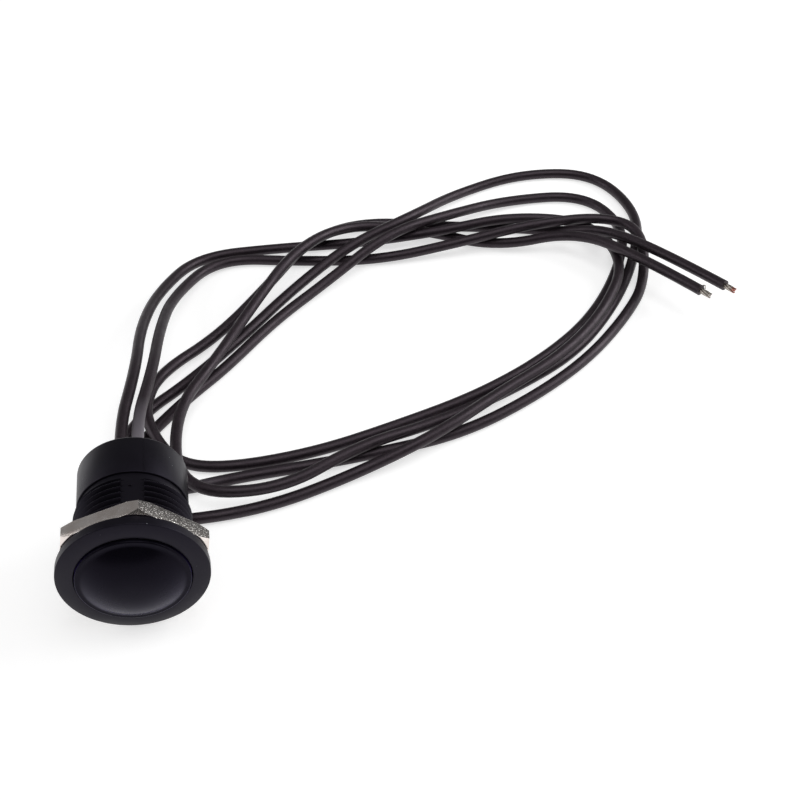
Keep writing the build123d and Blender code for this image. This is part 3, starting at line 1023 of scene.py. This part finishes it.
@dataclass
class Button:
    """Crowned cap with its rim, guided stem, seal groove, clip groove, spring pocket and plunger boss."""

    head_r: float = 7.6
    head_under: float = -1.0
    head_edge: float = -1.95
    head_ease: float = 0.22
    foot_r: float = 6.85
    rise: float = 2.04
    crown_power: float = 2.5
    crown_steps: int = 40
    cove: float = 0.12
    stem_r: float = 5.45
    stem_end: float = 5.7
    seal_groove_r: float = 4.48
    seal_groove: Flat = (1.6, 3.0)
    clip_groove_r: float = 4.85
    clip_groove: Flat = (4.66, 5.16)
    pocket_r: float = 3.9
    pocket_top: float = -1.6
    boss_r: float = 1.9
    boss_end: float = 0.6
    hole_r: float = 1.19
    hole_top: float = -1.35
    smooth_deg: float = 32.0

    def build(self, finish: Material) -> Piece:
        """Models the button and puts it on its own body.

        Args:
            finish: Finish of the plastic.

        Returns:
            The button.
        """
        piece = turned("button_moulding", self.section(), closed=False)
        seat(piece, self.smooth_deg)
        settle(piece, Body.BUTTON, finish, "button")
        return piece

    def section(self) -> list[Flat]:
        """Gives the half-section from the crown's middle round to the plunger's hole.

        Returns:
            Points as radius and place along the axis, mm.
        """
        ease = self.head_ease
        seal_from, seal_to = self.seal_groove
        clip_from, clip_to = self.clip_groove
        return [
            *self.crown(self.head_r - ease),
            *arc(self.head_r - ease, self.head_edge + ease, ease, 285, 360),
            (self.head_r, self.head_under), (self.stem_r, self.head_under), (self.stem_r, seal_from),
            (self.seal_groove_r, seal_from), (self.seal_groove_r, seal_to), (self.stem_r, seal_to),
            (self.stem_r, clip_from), (self.clip_groove_r, clip_from), (self.clip_groove_r, clip_to),
            (self.stem_r, clip_to), (self.stem_r, self.stem_end), (self.pocket_r, self.stem_end),
            (self.pocket_r, self.pocket_top), (self.boss_r, self.pocket_top), (self.boss_r, self.boss_end),
            (self.hole_r, self.boss_end), (self.hole_r, self.hole_top), (0.0, self.hole_top),
        ]

    def crown(self, reach: float) -> list[Flat]:
        """Gives the crown, flatter in the middle than a ball, its cove and the rim's face.

        Args:
            reach: Radius at which the rim's face ends, mm.

        Returns:
            Points as radius and place along the axis, mm.
        """
        line = []
        for step in range(self.crown_steps + 1):
            r = reach * math.sin(0.5 * math.pi * step / self.crown_steps)
            height = self.rise * (1.0 - (r / self.foot_r) ** self.crown_power)
            height = (height + math.hypot(height, self.cove)) / 2
            line.append((r, self.head_edge - height))
        return line


@dataclass
class ReturnSpring:
    """Open coil spring from the button's pocket to the guide plate."""

    mean_r: float = 2.9
    wire_r: float = 0.25
    wire_facets: int = 16
    front_seat: float = -1.6
    rear_seat: float = 6.8
    seat_air: float = 0.03
    coils: int = 5
    facets: int = 200
    stroke: float = 0.84
    smooth_deg: float = 50.0

    def build(self, finish: Material) -> Piece:
        """Winds the spring and puts it on the switch.

        Args:
            finish: Finish of the wire.

        Returns:
            The spring.
        """
        low = self.front_seat + self.seat_air + self.wire_r
        high = self.rear_seat - self.seat_air - self.wire_r
        piece = fresh("return_spring_coil", bpy.ops.mesh.primitive_circle_add, vertices=self.wire_facets,
                      radius=self.wire_r * MM, fill_type="NOTHING")
        lay(piece, (self.mean_r * MM, low * MM, 0.0))
        wound(piece, (high - low) * MM, self.coils, self.facets)
        seat(piece, self.smooth_deg)
        settle(piece, Body.SWITCH, finish, "return_spring")
        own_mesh(piece)
        return piece


@dataclass
class HexNut:
    """Thin hexagon nut with both faces chamfered and its sharp edges just broken."""

    across_flats: float = 19.0
    thick: float = 2.25
    start: float = 0.35
    bore_r: float = 8.06
    bore_ease: float = 0.3
    chamfer_w: float = 0.72
    chamfer_deg: float = 30.0
    chamfer_over: float = 1.2
    turn: float = math.radians(10.5)
    broken_edge: float = 0.10
    broken_facets: int = 2
    broken_deg: float = 20.0
    smooth_deg: float = 25.0

    def build(self, finish: Material) -> Piece:
        """Models the nut and puts it on its own body.

        Args:
            finish: Finish of the metal.

        Returns:
            The nut.
        """
        corner_r = self.across_flats / math.sqrt(3.0)
        piece = fresh("hexagon_nut", bpy.ops.mesh.primitive_cylinder_add, vertices=6, radius=corner_r * MM,
                      depth=self.thick * MM)
        lay(piece, (0.0, (self.start + self.thick / 2) * MM, 0.0), (math.pi / 2, 0.0, 0.0))
        cut(piece, turned("nut_blank", self.blank(corner_r - self.chamfer_w)), Cut.KEEP)
        lay(piece, turn=(0.0, self.turn, 0.0))
        lay(piece, SEAT)
        edge = piece.modifiers.new("broken_edge", "BEVEL")
        edge.width = self.broken_edge * MM
        edge.segments = self.broken_facets
        edge.limit_method = "ANGLE"
        edge.angle_limit = math.radians(self.broken_deg)
        bpy.ops.object.modifier_apply(modifier=edge.name)
        bpy.ops.object.shade_smooth_by_angle(angle=math.radians(self.smooth_deg))
        settle(piece, Body.NUT, finish, "hex_nut")
        return piece

    def blank(self, face_r: float) -> list[Flat]:
        """Gives the half-section that chamfers the hexagon and bores it.

        Args:
            face_r: Radius of the flat faces inside the chamfer, mm.

        Returns:
            Points as radius and place along the axis, mm.
        """
        end = self.start + self.thick
        over = self.chamfer_over * self.chamfer_w
        drop = over * math.tan(math.radians(self.chamfer_deg))
        return [
            (self.bore_r + self.bore_ease, self.start), (face_r, self.start),
            (face_r + over, self.start + drop), (face_r + over, end - drop),
            (face_r, end), (self.bore_r + self.bore_ease, end),
            (self.bore_r, end - self.bore_ease), (self.bore_r, self.start + self.bore_ease),
        ]


@dataclass
class Lead:
    """One flexible lead, from the resin at the switch's back to its stripped end."""

    name: str
    route_mm: list[Point]
    length: float
    node: str
    strands: Piece
    diameter: float = 1.8 * MM
    resin_back: float = 10.45 * MM
    order: int = 3
    steps: int = 10
    round_steps: int = 5

    def build(self, insulation: Material) -> Piece:
        """Makes the lead as one smooth round curve along its route.

        Args:
            insulation: Finish of the outside.

        Returns:
            The lead's curve object.
        """
        line = bpy.data.curves.new(self.name, "CURVE")
        line.dimensions = "3D"
        spline = line.splines.new("NURBS")
        spline.points.add(len(self.route_mm) - 1)
        for point, (x, y, z) in zip(spline.points, self.route_mm):
            point.co = (x * MM, y * MM, z * MM, 1.0)
        spline.order_u = self.order
        spline.use_endpoint_u = True
        spline.resolution_u = self.steps
        line.bevel_depth = self.diameter / 2
        line.bevel_resolution = self.round_steps
        line.use_fill_caps = True
        piece = bpy.data.objects.new(self.name, line)
        bpy.context.scene.collection.objects.link(piece)
        settle(piece, Body.SWITCH, insulation, self.node)
        return piece


@dataclass
class StrandBundle:
    """Stripped end of a lead: fine tinned strands with a slow twist, cut a little unevenly."""

    name: str
    node: str
    route_mm: list[Point]
    stray: bool = False
    bare_tip: bool = False
    strand_r: float = 0.14
    strand_facets: int = 12
    ring_r: float = 0.29
    ring_count: int = 6
    twist: float = 0.22
    twist_steps: int = 14
    start: float = -0.4
    lengths: tuple[float, ...] = (2.10, 1.90, 2.02, 1.82, 2.08, 1.95, 2.12)
    splays: tuple[Flat, ...] = ((0.55, 0.035), (0.75, 0.05))
    tip_past: float = 2.1
    stray_bend_r: float = 0.42
    stray_wire_r: float = 0.10
    stray_cut: float = 0.16
    stray_facets: tuple[int, int] = (32, 10)
    stray_turn_deg: Point = (-35.0, 20.0, -70.0)
    stray_at: Point = (-0.80, -0.15, 0.10)
    smooth_deg: float = 50.0

    def build(self) -> Piece:
        """Winds each strand, joins them and lays them along the lead's end.

        Returns:
            The bundle.
        """
        strands = [self.strand(i, length) for i, length in enumerate(self.lengths)]
        if self.stray:
            strands.append(self.stray_strand())
        pick(strands[0])
        for strand in strands:
            strand.select_set(True)
        bpy.ops.object.join()
        piece = bpy.context.object
        piece.name = self.name
        before, end = (Vector(p) for p in self.route_mm[-2:])
        way = (end - before).normalized()
        lay(piece, end * MM, way.to_track_quat("Y", "Z").to_euler())
        bpy.ops.object.shade_smooth_by_angle(angle=math.radians(self.smooth_deg))
        tip = tuple(end + way * self.tip_past) if self.bare_tip else None
        finish = PlainMetal(f"{self.name}_tin", bright="#d2ccc6", dull="#a1978f", roughness=0.24,
                            cloud_mm=0.3, tip_at_mm=tip)
        settle(piece, Body.SWITCH, finish.build(), self.node)
        return piece

    def strand(self, index: int, length: float) -> Piece:
        """Winds one strand, the first one in the middle and the others round it.

        Args:
            index: Number of the strand.
            length: Its free length, mm.

        Returns:
            The closed strand along Y.
        """
        piece = fresh(f"{self.name}_{index}", bpy.ops.mesh.primitive_circle_add, vertices=self.strand_facets,
                      radius=self.strand_r * MM, fill_type="NOTHING")
        ring = 0.0 if index == 0 else self.ring_r
        angle = math.tau * index / self.ring_count
        place = (ring * math.cos(angle) * MM, self.start * MM, ring * math.sin(angle) * MM)
        lay(piece, place, (math.pi / 2, 0.0, 0.0))
        wound(piece, (length - self.start) * MM, self.twist, self.twist_steps)
        if index > 0:
            self.splay(piece, index, length)
        return piece

    def splay(self, piece: Piece, index: int, length: float) -> None:
        """Spreads a strand's free end a little away from the others.

        Args:
            piece: The strand.
            index: Its number.
            length: Its free length, mm.
        """
        angle = math.tau * (index / self.ring_count - self.twist)
        for reach, push in self.splays:
            for vertex in piece.data.vertices:
                vertex.select = vertex.co.y > reach * length * MM
            bpy.ops.object.mode_set(mode="EDIT")
            bpy.ops.transform.translate(value=(push * MM * math.cos(angle), 0.0, push * MM * math.sin(angle)))
            bpy.ops.object.mode_set(mode="OBJECT")

    def stray_strand(self) -> Piece:
        """Curls one strand back over the insulation's cut edge.

        Returns:
            The open ring of wire.
        """
        along, around = self.stray_facets
        piece = fresh(f"{self.name}_stray", bpy.ops.mesh.primitive_torus_add, major_segments=along,
                      minor_segments=around, major_radius=self.stray_bend_r * MM,
                      minor_radius=self.stray_wire_r * MM)
        bpy.ops.object.mode_set(mode="EDIT")
        bpy.ops.mesh.select_all(action="SELECT")
        bpy.ops.mesh.bisect(plane_co=(0.0, self.stray_cut * MM, 0.0), plane_no=(0.0, 1.0, 0.0), use_fill=True,
                            clear_outer=True)
        bpy.ops.object.mode_set(mode="OBJECT")
        turns = [math.radians(turn) for turn in self.stray_turn_deg]
        lay(piece, [place * MM for place in self.stray_at], turns)
        return piece


@dataclass
class Studio:
    """Pale surface, soft light and the camera at the photograph's angle."""

    camera_at: Point = (17.386 * MM, -131.962 * MM, 153.71 * MM)
    azimuth: float = 0.142542
    elevation: float = 0.747236
    lens_mm: float = 63.87
    sensor_mm: float = 36.0
    clip: Flat = (0.01, 20.0)
    floor_size: float = 6.0
    floor_colour: str = "#cfcfcf"
    floor_lift: float = 0.62
    lamps: tuple[tuple[str, Point, float, float], ...] = (
        ("top", (0.16, -0.14, 0.88), 0.70, 2.8),
        ("right", (0.50, 0.10, 0.26), 0.34, 1.5),
        ("left", (-0.50, 0.10, 0.30), 0.34, 0.8),
    )
    lamp_aim: Point = (0.03, 0.03, 0.0)
    sky_colour: str = "#ffffff"
    sky: float = 0.20
    sky_ahead: float = 0.06
    behind_limits: Flat = (-0.55, -0.05)
    above_limits: Flat = (0.55, 0.80)
    backdrop_limits: Flat = (0.04, 0.10)

    def build(self) -> None:
        """Makes the camera, the surface, the lamps and the sky."""
        self.make_camera()
        self.make_floor()
        for name, at, size, power in self.lamps:
            self.make_lamp(name, at, size, power)
        self.make_world()
        bpy.context.scene.view_settings.view_transform = "Standard"

    def make_camera(self) -> None:
        """Places the camera."""
        data = bpy.data.cameras.new("camera")
        data.lens = self.lens_mm
        data.sensor_width = self.sensor_mm
        data.clip_start, data.clip_end = self.clip
        piece = bpy.data.objects.new("camera", data)
        level = math.cos(self.elevation)
        across = math.sin(self.azimuth) * level
        along = math.cos(self.azimuth) * level
        ahead = Vector((across, along, -math.sin(self.elevation)))
        piece.location = self.camera_at
        piece.rotation_euler = ahead.to_track_quat("-Z", "Y").to_euler()
        bpy.context.scene.collection.objects.link(piece)
        bpy.context.scene.camera = piece

    def make_floor(self) -> None:
        """Lays the pale surface, which shows white away from the shadows."""
        floor = fresh("surface", bpy.ops.mesh.primitive_plane_add, size=self.floor_size)
        made, tree = new_material("white_paper_sweep")
        ray = add_node(tree, "LightPath").node.outputs
        matt = add_node(tree, "BsdfDiffuse", {"Color": self.floor_colour})
        seen = add_node(tree, "Math", {0: ray["Is Camera Ray"], 1: ray["Is Glossy Ray"]}, operation="MAXIMUM")
        seen = add_node(tree, "Math", {0: seen, 1: ray["Is Transmission Ray"]}, operation="MAXIMUM")
        lift = add_node(tree, "Math", {0: seen, 1: self.floor_lift}, operation="MULTIPLY")
        glow = add_node(tree, "Emission", {"Strength": lift})
        both = add_node(tree, "AddShader", {0: matt, 1: glow})
        add_node(tree, "OutputMaterial", {"Surface": both})
        dress(floor, made)

    def make_lamp(self, name: str, at: Point, size: float, power: float) -> None:
        """Hangs a soft square lamp that faces the switch.

        Args:
            name: Name of the lamp.
            at: Its place.
            size: Side of its square.
            power: Its power in watts.
        """
        data = bpy.data.lights.new(name, "AREA")
        data.size = size
        data.energy = power
        piece = bpy.data.objects.new(name, data)
        piece.location = at
        piece.rotation_euler = (Vector(self.lamp_aim) - Vector(at)).to_track_quat("-Z", "Y").to_euler()
        bpy.context.scene.collection.objects.link(piece)

    def make_world(self) -> None:
        """Sets a dim sky, darker on the button's side, and a white backdrop low down past the surface."""
        world = bpy.data.worlds.new("studio")
        bpy.context.scene.world = world
        world.use_nodes = True
        tree = world.node_tree
        tree.nodes.clear()
        ahead, rear = self.behind_limits
        aside, top = self.above_limits
        near, high = self.backdrop_limits
        way = add_node(tree, "TexCoord", out="Generated")
        parts = add_node(tree, "SeparateXYZ", {0: way}).node.outputs
        ray = add_node(tree, "LightPath").node.outputs
        behind = add_node(tree, "MapRange", {"Value": parts["Y"], "From Min": ahead, "From Max": rear})
        above = add_node(tree, "MapRange", {"Value": parts["Z"], "From Min": aside, "From Max": top})
        open_sky = add_node(tree, "Math", {0: behind, 1: above}, operation="MAXIMUM")
        dim = add_node(tree, "MapRange", {"Value": open_sky, "To Min": self.sky_ahead, "To Max": self.sky})
        low = add_node(tree, "MapRange", {"Value": parts["Z"], "From Min": near, "From Max": high, **FALLING})
        backdrop = add_node(tree, "Math", {0: low, 1: behind}, operation="MULTIPLY")
        mirror = add_node(tree, "Math", {0: ray["Is Glossy Ray"], 1: ray["Is Transmission Ray"]},
                          operation="MAXIMUM")
        mirrored = add_node(tree, "Math", {0: mirror, 1: backdrop}, operation="MULTIPLY")
        seen = add_node(tree, "Math", {0: ray["Is Camera Ray"], 1: mirrored}, operation="MAXIMUM")
        power = add_node(tree, "Math", {0: dim, 1: seen}, operation="MAXIMUM")
        sky = add_node(tree, "Background", {"Color": self.sky_colour, "Strength": power})
        add_node(tree, "OutputWorld", {"Surface": sky})


@dataclass
class Mechanism:
    """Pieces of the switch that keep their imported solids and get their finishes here."""

    finishes: tuple[tuple[Finish, tuple[str, ...]], ...] = (
        (SEAL_FINISH, ("button_seal",)),
        (PLUNGER_FINISH, ("plunger",)),
        (BRASS_FINISH, ("contact_bridge", "terminal_left", "terminal_right")),
        (SILVER_FINISH, ("bridge_contacts", "fixed_contacts")),
        (INNER_FINISH, ("guide_plate", "contact_base")),
        (RESIN_FINISH, ("rear_potting",)),
        (CORE_FINISH, ("left_core", "right_core")),
    )
    steel_nodes: tuple[str, ...] = ("stem_clip", "return_spring", "contact_spring", "bridge_keeper")

    def build(self, shared: dict[str, Material], steel: Material) -> None:
        """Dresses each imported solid.

        Args:
            shared: Finish of each solid that a modelled piece stands for.
            steel: Finish of the springs and clips.
        """
        dressed = {**shared, **dict.fromkeys(self.steel_nodes, steel)}
        for finish, nodes in self.finishes:
            dressed.update(dict.fromkeys(nodes, finish.build()))
        for node, material in dressed.items():
            dress(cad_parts[node], material)
            LOG.info("solid %s dressed in %s", node, material.name)


def main() -> None:
    """Builds the studio and the switch in order and reports each piece."""
    logging.basicConfig(level=logging.INFO, format="%(message)s")
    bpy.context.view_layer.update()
    Studio().build()
    left = StrandBundle("left_strand_bundle", "left_strands", LEFT_ROUTE_MM, stray=True).build()
    left_lead = Lead("left_lead_cord", LEFT_ROUTE_MM, 0.655, "left_lead", left).build(LEAD_FINISH.build())
    right = StrandBundle("right_strand_bundle", "right_strands", RIGHT_ROUTE_MM, bare_tip=True).build()
    right_lead = Lead("right_lead_cord", RIGHT_ROUTE_MM, 0.629, "right_lead", right)
    pieces = [left, left_lead, right, right_lead.build(SHEEN_PAINTED_LEAD_FINISH.build())]
    plastic = HOUSING_FINISH.build()
    cap = BUTTON_FINISH.build()
    nickel = NUT_FINISH.build()
    steel = STEEL_FINISH.build()
    pieces += [Housing().build(plastic), Button().build(cap), HexNut().build(nickel)]
    Mechanism().build({"housing": plastic, "button": cap, "hex_nut": nickel}, steel)
    pieces.append(ReturnSpring().build(steel))
    for piece in pieces:
        LOG.info("modelled %s", piece.name)


if __name__ == "__main__":
    main()
